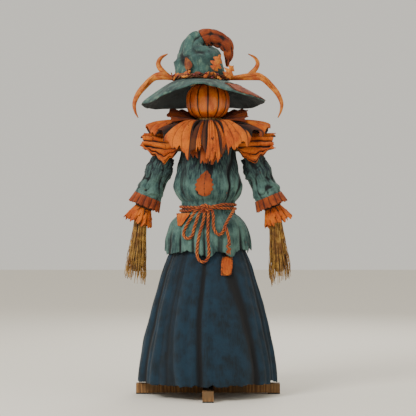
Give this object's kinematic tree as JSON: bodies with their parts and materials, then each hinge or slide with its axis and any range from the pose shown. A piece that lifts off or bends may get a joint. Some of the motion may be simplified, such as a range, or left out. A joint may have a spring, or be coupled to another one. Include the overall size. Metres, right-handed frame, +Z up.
{
  "type": "scarecrow figure",
  "caption": "Standing scarecrow figure with a turning pumpkin head, lift-off floppy hat, petal collar, roped tunic, long robe and arms that swing at the shoulders.",
  "frame": {"origin": "on the floor, under the middle of the bounding box and of the post", "axes": "+Z up along the post, the figure faces -Y, +X to the viewer's right"},
  "size_m": [0.701, 0.6, 1.527],
  "materials": {
    "timber": "matte",
    "galvanised_steel": "satin",
    "rubber": "matte",
    "straw": "matte",
    "tunic_cloth": "matte",
    "robe_cloth": "matte",
    "hat_felt": "matte",
    "orange_cloth": "matte",
    "rust_cloth": "matte",
    "rope": "matte",
    "twine": "matte",
    "pumpkin_skin": "satin",
    "stem": "matte",
    "vine": "matte",
    "husk": "matte",
    "leaf_orange": "matte",
    "leaf_brown": "matte"
  },
  "bodies": {
    "stand": {"base_rail_x": "timber", "base_rail_y": "timber", "foot_pad_left": "rubber", "foot_pad_right": "rubber", "foot_pad_front": "rubber", "foot_pad_back": "rubber", "post_bracket": "galvanised_steel", "bracket_screw_left": "galvanised_steel", "bracket_screw_right": "galvanised_steel", "post": "timber", "crossbar": "timber", "crossbar_bolt": "galvanised_steel", "crossbar_nut": "galvanised_steel", "head_rest": "timber", "tunic": "tunic_cloth", "torso_stuffing": "straw", "robe": "robe_cloth", "robe_hoop": "galvanised_steel", "chest_leaf": "rust_cloth", "collar_front": "orange_cloth", "collar_under": "rust_cloth", "collar_back": "rust_cloth", "capelet_left": "orange_cloth", "capelet_right": "orange_cloth", "belt_rope": "rope", "belt_knot": "rope", "rope_loop_left": "rope", "rope_loop_center": "rope", "rope_loop_right": "rope", "rope_tail": "rope", "shoulder_bolt_left": "galvanised_steel", "wing_nut_left": "galvanised_steel", "shoulder_bolt_right": "galvanised_steel", "wing_nut_right": "galvanised_steel"},
    "arm_left": {"arm_batten_left": "timber", "sleeve_left": "tunic_cloth", "sleeve_filling_left": "straw", "cuff_ruffle_left": "rust_cloth", "cuff_frill_left": "orange_cloth", "wrist_tie_left": "twine", "straw_hand_left": "straw"},
    "arm_right": {"arm_batten_right": "timber", "sleeve_right": "tunic_cloth", "sleeve_filling_right": "straw", "cuff_ruffle_right": "rust_cloth", "cuff_frill_right": "orange_cloth", "wrist_tie_right": "twine", "straw_hand_right": "straw"},
    "head": {"pumpkin": "pumpkin_skin", "pumpkin_stem": "stem"},
    "hat": {"hat_liner": "straw", "hat_brim": "hat_felt", "hat_crown": "hat_felt", "hat_crown_tip": "rust_cloth", "hat_vine": "vine", "hat_leaf_brown": "leaf_brown", "hat_leaf_oak": "leaf_orange", "hat_leaf_maple": "leaf_orange", "husk_left": "husk", "husk_right": "husk"}
  },
  "joints": [
    {"name": "head_turn", "type": "hinge", "parent": "stand", "child": "head", "pos_m": [0, 0, 1.15], "axis": [0, 0, 1], "continuous": true},
    {"name": "hat_lift", "type": "slide", "parent": "head", "child": "hat", "axis": [0, 0, 1], "range_m": [0, 0.25]},
    {"name": "shoulder_left", "type": "hinge", "parent": "stand", "child": "arm_left", "pos_m": [-0.165, 0, 1.03], "axis": [0, 1, 0], "range_deg": [-4, 58]},
    {"name": "shoulder_right", "type": "hinge", "parent": "stand", "child": "arm_right", "pos_m": [0.165, 0, 1.03], "axis": [0, -1, 0], "range_deg": [-4, 58]}
  ]
}
